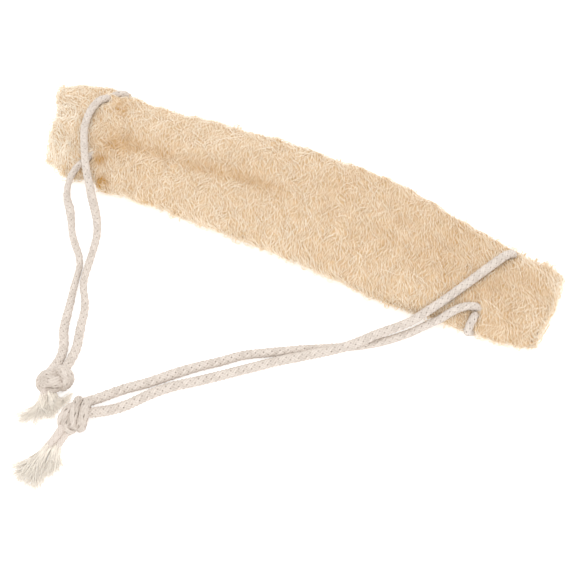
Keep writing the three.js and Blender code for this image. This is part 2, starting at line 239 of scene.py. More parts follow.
leftHandle = dict(
    route=[[-84.4, -225, 11.4], [-85.6, -209.3, 7.5], [-88.6, -195.8, 4.6], [-92, -187, 4.2],
           [-96.6, -175.8, 4.2], [-100.7, -164.3, 4.2], [-105.9, -154.9, 4.2], [-111.9, -147.2, 4.2],
           [-117.1, -137.9, 4.2], [-121.3, -124.7, 4.2], [-125.2, -111.1, 4.2], [-130.4, -96.2, 4.2],
           [-136.8, -85, 4.2], [-146.1, -73.6, 5.5], [-153.8, -64.9, 11], [-157.5, -60, 18],
           [-163.3, -53, 24.2], [-172.4, -40, 27.8], [-182, -26, 26.5], [-189.6, -13.2, 25.8],
           [-192.6, -5, 25.6], [-194.7, 3.3, 25.2], [-195.9, 11.8, 24.4], [-195.6, 19.6, 23.2],
           [-193.8, 24.9, 22], [-191.6, 30.5, 18.6], [-189.5, 35, 17.4], [-186.6, 39.5, 17.2],
           [-183.6, 43, 14.5], [-181, 44.8, 10.2], [-179, 43.5, 6.7], [-176.5, 37.5, 4.5],
           [-174, 23, 4.4], [-172, 6, 4.4], [-170, -8, 5], [-171, -18, 8.6], [-172.6, -25.5, 13],
           [-172.6, -30, 16], [-172.7, -36.3, 18.6], [-173, -41.1, 20], [-173.6, -44.7, 20.6],
           [-174.9, -48.7, 20.6], [-176.1, -52.8, 19.2], [-177.4, -56.9, 16.2], [-178.5, -60, 12],
           [-178.9, -63.6, 7.8], [-177.8, -67.6, 5.2], [-175, -72.8, 4.2], [-170.8, -77.6, 4.2],
           [-166.4, -82, 4.2], [-158.4, -92.1, 4.2], [-151.2, -102.3, 4.2], [-141.7, -112.4, 4.2],
           [-133.7, -119.7, 4.2], [-127.9, -127.8, 4.2], [-125.4, -134.3, 4.2], [-122.9, -141.7, 4.2],
           [-120.5, -148.8, 4.2], [-115.8, -161.2, 4.2], [-111.3, -174, 4.2], [-106.5, -186.4, 4.2],
           [-99, -198, 4.6], [-94.1, -209.8, 7.5], [-92.5, -228, 12]],
    inside=[-171, -18, 8.6], knotPitch=32.0,
    widths=dict(A=[[0, 7.2], [0.3, 7.6], [0.46, 7.3], [0.55, 9], [0.62, 7.5], [0.79, 6.6],
                   [0.88, 8.5], [1, 8.8]],
                B=[[0, 6], [0.22, 6], [0.32, 9], [0.41, 6.6], [0.48, 7.3], [0.6, 5.8],
                   [0.78, 8.5], [1, 9]]),
    knot=[dict(line=[[-91.6, -223, 6], [-91.2, -222.9, 10], [-85.4, -222.4, 15.2], [-78.7, -223.3, 17.5],
                     [-75.2, -225.6, 15.8], [-76.2, -228.2, 10], [-79.2, -229.8, 5.5]],
               scale=1.0, apart=1.8),
          dict(line=[[-78.2, -229.8, 6], [-84.5, -229, 4.8], [-90.7, -225, 4.8], [-91.6, -223, 7]],
               scale=1.0, apart=1.8),
          dict(line=[[-82.8, -224.9, 13], [-87.7, -227.5, 16], [-93.3, -230.6, 15], [-95.6, -234.6, 11.5],
                     [-93.3, -237.6, 7.5], [-87.9, -236.3, 6.5], [-82.2, -233.2, 8.5],
                     [-79.9, -229.4, 9]],
               scale=1.0, apart=1.5),
          dict(line=[[-79.5, -228.6, 13], [-83.2, -232.6, 17], [-88.9, -234.5, 16], [-93.1, -234.5, 10]],
               scale=1.1, apart=1.2)],
    tails=[dict(line=[[-89.7, -237.6, 9], [-88.9, -240.9, 7], [-87.7, -244.2, 5.4], [-86.8, -247.4, 4.2]],
                tips=[[-99.5, -266.6], [-96, -268], [-92.5, -267.6], [-90.3, -263.9], [-83.9, -266.6],
                      [-82.5, -259.2], [-79, -256.1], [-75.5, -253.7], [-93.2, -256], [-87.2, -250.8]],
                threads=340, frayFrom=0.5),
           dict(line=[[-86.5, -236.2, 8.5], [-84.8, -238.2, 6.5], [-82.9, -240.3, 5],
                      [-81.3, -241.9, 4.2]],
                tips=[[-71.5, -231.9], [-70.5, -236.3], [-71.5, -242.4], [-72.4, -249.1], [-76.2, -254.7],
                      [-81.6, -251.7], [-78.1, -243.6], [-83.5, -246.8]], threads=300, frayFrom=0.15)])
rightHandle = dict(
    route=[[-50, -244, 13], [-42, -236, 7.5], [-35.7, -229.5, 4.6], [-28.7, -222.5, 4.2],
           [-10.2, -198.6, 4.2], [18.3, -173.5, 4.2], [47.3, -147.6, 4.2], [62, -135, 4.8],
           [75.3, -126.6, 8], [86.3, -119.6, 11], [96, -113, 13], [104.7, -105.4, 13.4],
           [113.7, -95.4, 13.2], [122, -84, 12], [136, -68, 11], [143.4, -60.4, 13.5],
           [150.4, -52.3, 19], [158.4, -41.6, 24], [168.1, -24.4, 27.2], [183.6, 8.6, 27],
           [188.7, 20, 25.7], [192.6, 28.5, 21.5], [195.5, 32.5, 15], [196.5, 31.5, 8.6],
           [197.5, 25, 5], [199, 12, 4.4], [201, -24, 4.4], [197.5, -35, 4.6], [191.8, -43, 6],
           [186.7, -49, 11], [186.6, -48.3, 15.5], [186.6, -45.9, 19], [187, -42, 20.3],
           [187, -36.8, 18], [186.9, -33.4, 13.6], [185.6, -30.5, 9.4], [182.6, -25.6, 7],
           [181.4, -20.6, 6.6], [183.4, -16.6, 7.2], [187, -14.2, 8.2], [190.8, -14.8, 9.4],
           [192.8, -18.3, 11], [192.9, -23, 14], [190, -27.8, 18], [185.2, -31, 22], [180.2, -34, 23.8],
           [174.4, -38.8, 24], [168.9, -44.8, 21.6], [163, -51, 16], [154, -58, 9.5], [146, -66, 5.5],
           [138, -74, 4.2], [124, -87, 4.2], [108, -98, 4.2], [93, -107, 4.2], [72, -119, 4.2],
           [51, -132, 4.2], [34, -143, 4.2], [20, -156, 4.2], [5, -169, 4.2], [-9, -183, 4.2],
           [-22, -197, 4.2], [-36, -210, 4.2], [-43, -218, 4.6], [-49, -227, 7.5], [-57, -239, 13]],
    inside=[187, -14.2, 8.2], knotPitch=60.0,
    widths=dict(A=[[0, 7], [0.25, 7.8], [0.33, 8.6], [0.42, 8], [0.6, 9], [0.85, 9.3], [1, 9.7]],
                B=[[0, 7], [0.25, 7.6], [0.5, 8.5], [0.7, 8.8], [0.76, 9.8], [1, 9.4]]),
    knot=[dict(line=[[-57.4, -236, 5.2], [-57.4, -234.8, 9.5], [-55, -238.1, 16], [-51.6, -244.9, 20.8],
                     [-50.2, -250.6, 19.4], [-50.3, -254.1, 14], [-51.2, -255.2, 8],
                     [-51.6, -253.3, 5.2]],
               scale=1.0, apart=3.3),
          dict(line=[[-51.5, -254.5, 6], [-53, -249.5, 4.7], [-55.8, -241.8, 4.7], [-57.2, -236.8, 6]],
               scale=1.0, apart=3.3),
          dict(line=[[-57.2, -241.3, 10], [-58, -243.4, 14.5], [-59.4, -248.8, 16], [-60.4, -255, 14.5],
                     [-59.2, -258.7, 10.5], [-56, -259.4, 7], [-54.9, -253.2, 5]], scale=1.0, apart=2.4),
          dict(line=[[-52, -240, 11], [-54, -248, 12.5], [-55.5, -257, 10.5]], scale=1.2, apart=3.0)],
    tails=[dict(line=[[-58.9, -259.5, 12], [-59.8, -264.4, 10], [-60.9, -270.2, 7.8], [-62.2, -275.9, 6],
                      [-63.1, -280.7, 4.8], [-63.4, -283.7, 4.2]],
                tips=[[-79.5, -301.6], [-75.5, -306], [-69.5, -309.1], [-62.5, -309.8], [-56.3, -309.2],
                      [-52.5, -306.9], [-53.6, -301.8], [-71, -301.1], [-62, -302.4], [-60.6, -296.4]],
                threads=460, frayFrom=0.7),
           dict(line=[[-55.3, -257.8, 8.5], [-56, -262.3, 6.6], [-57, -267.5, 5], [-57.2, -272.6, 4.2],
                      [-56.6, -276.7, 3.9], [-55.4, -280, 3.8]],
                tips=[[-49.5, -281.9], [-46.9, -285.8], [-46.5, -290.7], [-49.9, -294.5], [-53.7, -295.5],
                      [-52.6, -288.1], [-55.5, -299]], threads=300, frayFrom=0.7)])

braid = dict(step=1.7, pitch=26.0, ringRadius=2.5, weave=0.42, halfWidth=1.5, halfThick=0.9,
             points=10, groove=0.4, lines=0.5, settle=0.4, diameter=8.0, levelBlur=9, pathEvery=3,
             tone=0.75, toneSpread=0.1)


# eight strands, four each way round:
# centre = line + ring x (cos, sin) of (way x 2 pi length / pitch + start);
# the ring swells and shrinks four times a turn, the two ways opposite, so they pass over and under;
# a groove down each strand parts its two yarns
def braidPoints(path, size):
    ahead, side, lift = carriedFrame(path)
    along = np.concatenate([[0], np.cumsum(np.linalg.norm(np.diff(path, axis=0), axis=1))])
    twist = 2 * np.pi * along / size["pitch"]
    way = np.repeat([1.0, -1.0], 4)[:, None]
    start = np.tile(np.arange(4) * np.pi / 2, 2)[:, None] + np.where(way > 0, 0, np.pi / 4)
    angle = way * twist + start
    over = way * np.cos(4 * twist - np.pi / 2)
    ring = size["ringRadius"] + size["weave"] * over
    out = np.cos(angle)[..., None] * side + np.sin(angle)[..., None] * lift
    centre = path + ring[..., None] * out
    ahead = unit(np.gradient(centre, axis=1))
    out = unit(out - ahead * (out * ahead).sum(-1, keepdims=True))
    left = np.cross(ahead, out)
    turn = 2 * np.pi * np.arange(size["points"]) / size["points"]
    thick = size["halfThick"] * np.cos(turn) * (1 - size["groove"] * np.cos(turn) ** 8)
    wide = size["halfWidth"] * np.sin(turn)
    return centre[:, :, None] + out[:, :, None] * thick[:, None] + left[:, :, None] * wide[:, None]


# painted shade: darker in the groove between a strand's two yarns and at its edges
def strandTone(size, base, rings):
    turn = 2 * np.pi * np.arange(size["points"]) / size["points"]
    line = -size["lines"] * (np.cos(turn) ** 8 + np.sin(turn) ** 6)
    return np.broadcast_to(base[:, None, None] + line, (len(base), rings, size["points"]))


# one braided rope, its strands a little different in tone, pressed broader or narrower along its length:
# offset from the line + (stretch - 1) x its level part, with stretch = width / round width
def addBraid(name, path, widths, seed):
    points = braidPoints(path, braid)
    level = np.cross(unit(np.gradient(path, axis=0)), (0.0, 0.0, 1.0))
    window = np.ones(braid["levelBlur"])
    level = unit(np.stack([np.convolve(level[:, k], window, "same") for k in range(3)], axis=1))
    share, width = np.array(widths, float).T
    roundWidth = 2 * (braid["ringRadius"] + braid["weave"] + braid["halfThick"])
    stretch = np.interp(np.linspace(0, 1, len(path)), share, width) / roundWidth
    sideways = ((points - path[:, None]) * level[:, None]).sum(-1) * (stretch[:, None] - 1)
    points = points + sideways[..., None] * level[:, None]
    base = np.random.default_rng(seed).normal(braid["tone"], braid["toneSpread"], 8)
    tone = strandTone(braid, base, len(path))
    return addMesh(name, points * mm, tubeFaces(8, len(path), braid["points"]), ropeMaterial, tone)


# the knot's lower tone than the rope's is painted shade of its tight turns
knotRope = dict(step=1.6, ringRadius=2.55, weave=0.3, halfWidth=1.75, halfThick=0.95, points=10,
                groove=0.4, lines=0.35, floorGap=0.3, tone=0.55, toneSpread=0.1)


# each turn of the knot is two ropes side by side, moved apart along the axis that the turn winds round
def addKnot(name, turns, pitch, seed):
    points, faces, tones = [], [], []
    dice = np.random.default_rng(seed)
    for turn in turns:
        line = smoothPath(turn["line"], knotRope["step"])
        spokes = line - line.mean(axis=0)
        axis = unit(np.cross(spokes[:-1], spokes[1:]).sum(axis=0))
        size = dict(knotRope, pitch=pitch)
        for key in ("ringRadius", "weave", "halfWidth", "halfThick"):
            size[key] = knotRope[key] * turn["scale"]
        for way in (1, -1):
            rope = braidPoints(line + way * turn["apart"] * axis, size)
            shift = sum(len(part) for part in points)
            faces += [[v + shift for v in face] for face in tubeFaces(8, len(line), size["points"])]
            points.append(rope.reshape(-1, 3))
            base = dice.normal(size["tone"], size["toneSpread"], 8)
            tones.append(strandTone(size, base, len(line)).ravel())
    points = np.concatenate(points)
    points[:, 2] = np.maximum(points[:, 2], knotRope["floorGap"])
    return addMesh(name, points * mm, faces, ropeMaterial, np.concatenate(tones))


tailBraid = dict(step=1.6, pitch=24.0, ringRadius=2.3, weave=0.35, halfWidth=1.5, halfThick=0.82,
                 points=10, groove=0.4, lines=0.3, tone=0.2, toneSpread=0.05)
fray = dict(rings=10, sides=3, radius=0.28, widths=(0.7, 1.3), taper=0.5, rootSpread=3.5, tipSpread=4.0,
            tipHeight=(0.5, 4.2), kneeReach=(4, 9), flare=1.5, wave=0.9, pace=(5, 14), floorGap=0.45,
            facing=(0.2, 0.1, 1.0), tone=0.85, toneSpread=0.15)


# a braided stub, then threads that leave it on the way and run to the tips:
# (1-u)^2 root + 2u(1-u) knee + u^2 tip, with a little sideways wave
def addFray(name, tail, seed):
    dice = np.random.default_rng(seed)
    stub = smoothPath(tail["line"], tailBraid["step"])
    stubPoints = braidPoints(stub, tailBraid)
    ahead, side, lift = carriedFrame(stub)
    count = tail["threads"]
    angle = dice.uniform(0, 2 * np.pi, count)
    reach = fray["rootSpread"] * np.sqrt(dice.uniform(0, 1, count))
    leave = (dice.uniform(tail["frayFrom"], 1, count) * (len(stub) - 1)).astype(int)
    spoke = np.cos(angle)[:, None] * side[leave] + np.sin(angle)[:, None] * lift[leave]
    offset = reach[:, None] * spoke
    root = stub[leave] + offset
    tips = np.array(tail["tips"], float)[dice.integers(0, len(tail["tips"]), count)]
    tips = tips + dice.normal(0, fray["tipSpread"] / 2, tips.shape)
    tip = np.column_stack([tips, dice.uniform(*fray["tipHeight"], count)])
    kneeReach = dice.uniform(*fray["kneeReach"], count)[:, None]
    knee = stub[-1] + ahead[-1] * kneeReach + fray["flare"] * offset
    u = np.linspace(0, 1, fray["rings"])[None, :, None]
    line = (1 - u) ** 2 * root[:, None] + 2 * u * (1 - u) * knee[:, None] + u**2 * tip[:, None]
    wave = np.sin(u * dice.uniform(*fray["pace"], (count, 1, 1)) + dice.uniform(*anyPhase, (count, 1, 1)))
    line = line + fray["wave"] * u * wave * dice.normal(0, 1, (count, 1, 3))
    line[..., 2] = np.maximum(line[..., 2], fray["floorGap"])
    width = dice.uniform(*fray["widths"], (count, 1)) * fray["radius"] * (1 - fray["taper"] * u[..., 0])
    normals = np.broadcast_to(fray["facing"], line.shape)
    threads = tubePoints(line, normals, width, fray["sides"])
    points = np.concatenate([stubPoints.reshape(-1, 3), threads.reshape(-1, 3)])
    shift = stubPoints.size // 3
    faces = tubeFaces(8, len(stub), tailBraid["points"])
    faces += [[v + shift for v in f] for f in tubeFaces(count, fray["rings"], fray["sides"])]
    base = dice.normal(tailBraid["tone"], tailBraid["toneSpread"], 8)
    threadTone = dice.normal(fray["tone"], fray["toneSpread"], count)
    tone = np.concatenate([strandTone(tailBraid, base, len(stub)).ravel(),
                           np.repeat(threadTone, fray["rings"] * fray["sides"])])
    return addMesh(name, points * mm, faces, frayMaterial, tone, smooth=False)


# both strands of a handle run from inside the sponge to the knot
def addHandle(side, handle, seed):
    whole = smoothPath(handle["route"], braid["step"])
    whole[:, 2] -= braid["settle"]
    cut = int(np.argmin(np.linalg.norm(whole - np.array(handle["inside"]), axis=1)))
    lines = {"A": whole[cut::-1], "B": whole[cut:]}
    knot = addKnot(side + "HandleKnot", handle["knot"], handle["knotPitch"], seed)
    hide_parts(side + "_knot")
    for number, tail in enumerate(handle["tails"], 1):
        frayed = addFray(f"{side}FrayedEnd{number}", tail, seed + number)
        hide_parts(f"{side}_frayed_end_{number}")
    for letter, line in lines.items():
        strand = addBraid(f"{side}Rope{letter}", line, handle["widths"][letter], seed + 10)
        if letter == "A":
            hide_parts(side + "_rope")
    return whole


leftRope = addHandle("left", leftHandle, 100)
rightRope = addHandle("right", rightHandle, 200)
print("handles built")

# loofah: one skin that the core and all fibre layers lie on, in mm

sponge = dict(
    start=-229.5, end=242.2, leftFar=17.0, leftNear=20.0, nearPower=1.5, slantReach=110.0,
    cornerRound=0.35, rightBulge=3.0, power=2.6, pressedFlat=2.6, typicalHalf=(52, 14),
    trough=dict(line=[[-245, -24], [-175, -20], [-150, -10.5], [-130, -8.5], [-90, -7.5], [-60, -5],
                      [-20, -2], [60, 1], [245, 0]],
                # the last three keys: the fold's lower fibre tone, partly painted shade and partly its
                # own more orange colour
                width=10.0, depth=3.4, start=-215.0, end=-15.0, fade=42.0, shadeFrom=-178.0,
                shadeFade=15.0, darker=0.5),
    notches=[dict(y=9.0, width=3.2, depth=6.0, reach=20.0),
             dict(y=-4.5, width=4.5, depth=4.5, reach=24.0)],
    farEdge=[[-245, 32.5], [-225, 39.5], [-185, 46], [-160, 45], [-112, 47], [-67, 52], [-21, 55.8],
             [26, 57.4], [72, 57.4], [100, 55.5], [125, 50], [150, 45], [175, 42], [200, 38], [225, 37],
             [245, 33]],
    nearEdge=[[-245, -38], [-210, -47], [-187, -57], [-160, -51.5], [-150, -55], [-128, -53.5],
              [-67, -51.5], [-10, -50.5], [54, -51], [98, -53], [125, -52.5], [155, -49.5],
              [190, -47.5], [212, -45.5], [228, -41.5], [245, -32]],
    thickness=[[-245, 10], [-230, 14], [-212, 18.5], [-190, 21.5], [-160, 21], [-110, 26], [-20, 30],
               [70, 30], [120, 27.5], [175, 23.5], [210, 21.5], [228, 18], [245, 11]],
    straps=[dict(x=-190.4, y=31.8, width=4.4, height=4.5),
            dict(x=-171.0, y=-22.5, width=3.6, height=3.0),
            dict(x=188.6, y=-27.8, width=4.0, height=5.2)],
    hole=dict(x=187.1, y=-32.7, width=4.0, depth=5.5),
    rows=236, around=208, lump=0.6, ropeRoom=3.6, overRope=1.5,
    tableRope=-75, dentBlurs=8, fullDent=3)  # rope nearer than tableRope only lies on the table


# rounded slab section: the 2/power-th power of cos and sin, 0 at the far edge, 1 at the near, 2 far again
def sectionAt(turn):
    c, s = np.cos(np.pi * turn), np.sin(np.pi * turn)
    power = 2 / sponge["power"]
    return np.sign(c) * np.abs(c) ** power, np.sign(s) * np.abs(s) ** power


# smooth curve through the [x, value] pairs
def profile(pairs, x):
    pairs = np.array(pairs, float)
    return hermite(pairs[:, 0], pairs[:, 1], x)


# share of the fold's full depth: 1 on its line, a bell curve across it, fading out at both its ends
def troughAt(x, y):
    trough = sponge["trough"]
    enter = np.clip((x - trough["start"]) / trough["fade"] + 1, 0, 1)
    leave = np.clip((trough["end"] - x) / trough["fade"] + 1, 0, 1)
    return enter * leave * np.exp(-((y - profile(trough["line"], x)) / trough["width"]) ** 2)


# x from the station with the slanted end and its notches, y between the edges,
# z from the pressed thickness less the fold;
# low mounds of fibre, the straps, cover the ropes where they go in
def skinAt(share, turn):
    across, upward = sectionAt(turn)
    station = sponge["start"] + share * (sponge["end"] - sponge["start"])
    inward = station - sponge["start"]
    farSlant = -sponge["leftFar"] * across * (1 + sponge["cornerRound"] * (1 - across**2))
    slant = np.where(across > 0, farSlant, sponge["leftNear"] * np.abs(across) ** sponge["nearPower"])
    x = station + slant * np.maximum(0, 1 - inward / sponge["slantReach"])
    x = x - sponge["rightBulge"] * across**2 * share
    far, near = profile(sponge["farEdge"], x), profile(sponge["nearEdge"], x)
    deep = profile(sponge["thickness"], x) + sponge["pressedFlat"]
    y = (far + near) / 2 + (far - near) / 2 * across
    z = deep / 2 * (1 + upward)
    for notch in sponge["notches"]:
        bite = np.exp(-((y - notch["y"]) / notch["width"]) ** 2)
        x = x + notch["depth"] * (np.maximum(0, 1 - inward / notch["reach"]) * bite)
    dip = sponge["trough"]["depth"] * troughAt(x, y)
    z = z - np.where(upward > 0, dip, 0)
    for strap in sponge["straps"]:
        square = (x - strap["x"]) ** 2 + (y - strap["y"]) ** 2
        z = z + np.where(upward > 0, strap["height"] * np.exp(-square / strap["width"] ** 2), 0)
    return np.stack([x, y, np.maximum(0, z - sponge["pressedFlat"])], axis=-1)


# turns at even steps round a typical section
def evenTurns(count, fine=4001):
    turn = np.linspace(0, 2, fine)
    across, upward = sectionAt(turn)
    halfWide, halfThick = sponge["typicalHalf"]
    steps = np.hypot(halfWide * np.diff(across), halfThick * np.diff(upward))
    along = np.concatenate([[0], np.cumsum(steps)])
    return np.interp(np.arange(count) / count * along[-1], along, turn), along[-1]


turns, girth = evenTurns(sponge["around"])
spongeLength = sponge["end"] - sponge["start"]


# outward normals of the skin grid: step round x step along
def skinNormals(skin):
    along = np.gradient(skin, axis=0)
    around = np.roll(skin, -1, axis=1) - np.roll(skin, 1, axis=1)
    return unit(np.cross(around, along))


# a smooth seeded field: a sum of sine waves, whole numbers of them round the sponge;
# fan is how far the waves' headings swing from straight across it
def makeWaves(dice, count, shortest, longest, fan):
    size = dice.uniform(shortest, longest, count)
    heading = np.pi / 2 + dice.uniform(-fan, fan, count)
    alongRate = 2 * np.pi * np.cos(heading) / size
    roundRate = 2 * np.pi * np.round(girth * np.sin(heading) / size) / girth
    return alongRate, roundRate, dice.uniform(0, 2 * np.pi, count)


# the waves' sum at u along and p round the sponge, over the root of half their number
def waveField(waves, u, p):
    alongRate, roundRate, phase = waves
    waved = np.sin(u[..., None] * alongRate + p[..., None] * roundRate + phase)
    return waved.sum(-1) * math.sqrt(2 / len(phase))


# skin points in a rope's room, but not well above its middle, go straight in until they are clear of it;
# the dents are blurred at the sides
def pressedSkin(skin, ropes):
    normals = skinNormals(skin)
    nearest = np.full(skin.shape[:2], 1e9)
    gap = np.zeros_like(skin)
    for spot in np.concatenate([rope[rope[:, 1] > sponge["tableRope"]] for rope in ropes]):
        away = skin - spot
        square = (away**2).sum(-1)
        closer = square < nearest
        nearest = np.where(closer, square, nearest)
        gap[closer] = away[closer]
    room = sponge["ropeRoom"] ** 2
    lift = (gap * normals).sum(-1)
    hole = sponge["hole"]
    fromHole = (skin[..., 0] - hole["x"]) ** 2 + (skin[..., 1] - hole["y"]) ** 2
    openShare = np.exp(-fromHole / hole["width"] ** 2)
    under = (nearest < room) & (lift < sponge["overRope"] + hole["depth"] * openShare)
    dent = np.where(under, lift + np.sqrt(np.maximum(0, lift**2 - nearest + room)), 0)
    soft = dent
    for blur in range(sponge["dentBlurs"]):
        soft = (soft + np.roll(soft, 1, 1) + np.roll(soft, -1, 1)
                + np.concatenate([soft[:1], soft[:-1]]) + np.concatenate([soft[1:], soft[-1:]])) / 5
    dent = np.maximum(dent, soft)
    return skin - dent[..., None] * normals, np.clip(dent / sponge["fullDent"], 0, 1)


shares = np.linspace(0, 1, sponge["rows"])
skin = skinAt(shares[:, None], turns[None, :])
uGrid = np.broadcast_to(shares[:, None] * spongeLength, skin.shape[:2])
columnPlaces = np.arange(sponge["around"]) / sponge["around"] * girth
pGrid = np.broadcast_to(columnPlaces[None, :], skin.shape[:2])
lumpWaves = makeWaves(rng, count=24, shortest=14, longest=40, fan=np.pi)
lumps = waveField(lumpWaves, uGrid, pGrid)
skin = skin + sponge["lump"] * lumps[..., None] * skinNormals(skin)
skin, pressed = pressedSkin(skin, [leftRope, rightRope])
skinOut = skinNormals(skin)
print("loofah skin ready")


# values of a grid at (u, p), straight between its four neighbours; p wraps round
def onGrid(grid, u, p):
    row = np.clip(u / spongeLength * (sponge["rows"] - 1), 0, sponge["rows"] - 1.001)
    column = (p / girth * sponge["around"]) % sponge["around"]
    i, j = row.astype(int), column.astype(int) % sponge["around"]
    fi, fj = row - i, column - np.floor(column)
    if grid.ndim > 2:
        fi, fj = fi[..., None], fj[..., None]
    jn = (j + 1) % sponge["around"]
    near = grid[i, j] * (1 - fj) + grid[i, jn] * fj
    far = grid[i + 1, j] * (1 - fj) + grid[i + 1, jn] * fj
    return near * (1 - fi) + far * fi


core = dict(inset=1.3, endGap=2.0, rough=0.25, every=2, floorGap=0.4, tones=(0.2, 0.8))


# every second skin point moved in along its normal, cut short at both ends, each shut with one face
def addCore():
    rowGap = round(core["endGap"] / spongeLength * sponge["rows"])
    inset = core["inset"] + core["rough"] * rng.uniform(-1, 1, skin.shape[:2])
    points = skin - skinOut * inset[..., None]
    points = points[rowGap:-rowGap:core["every"], ::core["every"]]
    points[..., 2] = np.maximum(points[..., 2], core["floorGap"])
    rows, around = points.shape[:2]
    i, j = np.arange(rows - 1)[:, None] * around, np.arange(around)[None, :]
    a, b = i + j, i + (j + 1) % around
    walls = np.stack([b, b + around, a + around, a], axis=-1).reshape(-1, 4)
    ends = [list(range(around))[::-1], list(range((rows - 1) * around, rows * around))]
    tone = rng.uniform(*core["tones"], points.shape[:2])
    return addMesh("loofahCore", points * mm, walls.tolist() + ends, coreMaterial, tone)


coreObject = addCore()
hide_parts("loofah_sponge")

# waves that all fibres share, lengths in mm
swirlWaves = makeWaves(rng, count=26, shortest=24, longest=50, fan=0.6)
curlWaves = makeWaves(rng, count=30, shortest=9, longest=18, fan=0.6)
leanWaves = makeWaves(rng, count=30, shortest=11, longest=32, fan=np.pi)
bowWaves = makeWaves(rng, count=30, shortest=9, longest=24, fan=np.pi)
# painted shade on the fibres, small deep spots and wide soft ones: x, y and reach in mm, depth in tone
shadeSpots = [(-162.2, -34.5, 5, 1.5), (-152.5, -52, 4.5, 1.2), (-147, -51.5, 4.5, 1.0), (-175, 23, 9, 0.4),
          (-159, -5, 14, 0.15), (-187.4, 31, 1.4, 1.6), (-179, 26.6, 1.3, 1.8),
          (-171.2, 21.3, 1.3, 1.8), (-171.1, 16.8, 1.2, 1.8), (-167.4, 16.6, 1.2, 1.6),
          (-178.2, 21.7, 1.2, 1.5), (200, -5, 20, 0.12), (222, 5, 16, 0.08), (100, 0, 26, 0.08),
          (140, 10, 20, 0.12), (-158, -26, 15, 0.24), (-146, -12, 22, 0.14), (150, 0, 80, 0.1)]
# painted light on the fibres, paler places: x, y and reach in mm, gain in tone
paintedLightPlaces = [(-219, -14, 16, 0.25), (-206, -38, 14, 0.3), (-190, -45, 12, 0.25), (-224, 20, 14, 0.12),
              (-106, -45, 24, 0.1), (-60, -46, 24, 0.1), (-10, -45, 24, 0.12), (25, -33, 22, 0.1),
              (96, -39, 24, 0.06), (135, -43, 18, 0.2), (-157, 27, 14, 0.12), (-77, 30, 20, 0.06),
              (-205, 0, 45, 0.15), (-130, 20, 40, 0.1), (-50, 38, 36, 0.1)]
# what all layers share; wild is the curl at the left end, its loss to the right end and its limits
fibres = dict(pastEnds=2.5, jitter=0.1, stagger=0.618, underFrom=0.56, underTo=0.94,
              wild=1.25, wildLoss=0.5, wildLimits=(0.7, 1.3), halfRun=0.53, bowCentre=0.3,
              meanderLength=(3.8, 8), meanderShare=(0.5, 1.5), swayLength=(9, 20), sink=0.9,
              widths=(0.8, 1.2), tipWidth=0.5, floorGap=0.05, shadeByHeight=0.12, paintedLightTop=1.7)


# a bell-shaped spot, 1 at (x, y)
def spotAt(line, x, y, reach):
    return np.exp(-((line[..., 0] - x) ** 2 + (line[..., 1] - y) ** 2) / reach**2)


